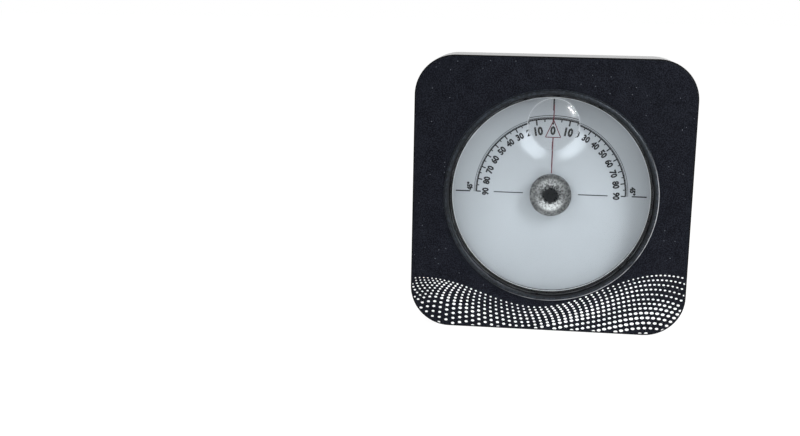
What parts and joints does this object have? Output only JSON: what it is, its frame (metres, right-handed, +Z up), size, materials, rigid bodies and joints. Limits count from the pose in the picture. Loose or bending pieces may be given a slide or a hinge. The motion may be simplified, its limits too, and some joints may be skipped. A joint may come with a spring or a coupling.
{
  "type": "inclinometer",
  "caption": "Square pocket inclinometer: a weighted dial hangs in a sealed round capsule behind a clear window with a small magnifier; closed back plate.",
  "frame": {"origin": "middle of the base, the flat lower side that the block stands on, halfway through the depth of the block from its front face to its back plate", "axes": "+Z up, the dial faces -Y, +X to the right as seen from the front"},
  "size_m": [0.06, 0.0148, 0.06],
  "materials": {
    "case_plastic": "fine matte grain, satin sides",
    "plate_plastic": "fine sparkling matte grain",
    "gasket_rubber": "matte",
    "screw_steel": "bright",
    "cover_plastic": "satin, a little scuffed",
    "clear_plastic": "clear and polished, boss frosted",
    "cup_plastic": "smooth",
    "seal_rubber": "matte",
    "plug_brass": "bright",
    "foam": "closed foam",
    "bush_black": "black",
    "jewel": "polished",
    "axle_steel": "polished",
    "hub_brass": "turned",
    "card_plastic": "pale blue-grey print",
    "weight_brass": "stamped"
  },
  "bodies": {
    "case": {"housing": "case_plastic", "back_plate": "plate_plastic", "back_gasket": "gasket_rubber", "back_screws": "screw_steel", "screw_cover_1": "cover_plastic", "screw_cover_2": "cover_plastic", "screw_cover_3": "cover_plastic", "screw_cover_4": "cover_plastic", "capsule_lid": "clear_plastic", "capsule_cup": "cup_plastic", "capsule_seal": "seal_rubber", "fill_plug": "plug_brass", "capsule_cushion": "foam", "front_bush": "bush_black", "front_jewel": "jewel", "rear_bush": "bush_black", "rear_jewel": "jewel"},
    "dial": {"arbor": "axle_steel", "dial_hub": "hub_brass", "dial_card": "card_plastic", "counterweight": "weight_brass"}
  },
  "joints": [
    {"name": "dial_spin", "type": "hinge", "parent": "case", "child": "dial", "pos_m": [0, 0, 0.03], "axis": [0, 1, 0], "continuous": true}
  ]
}
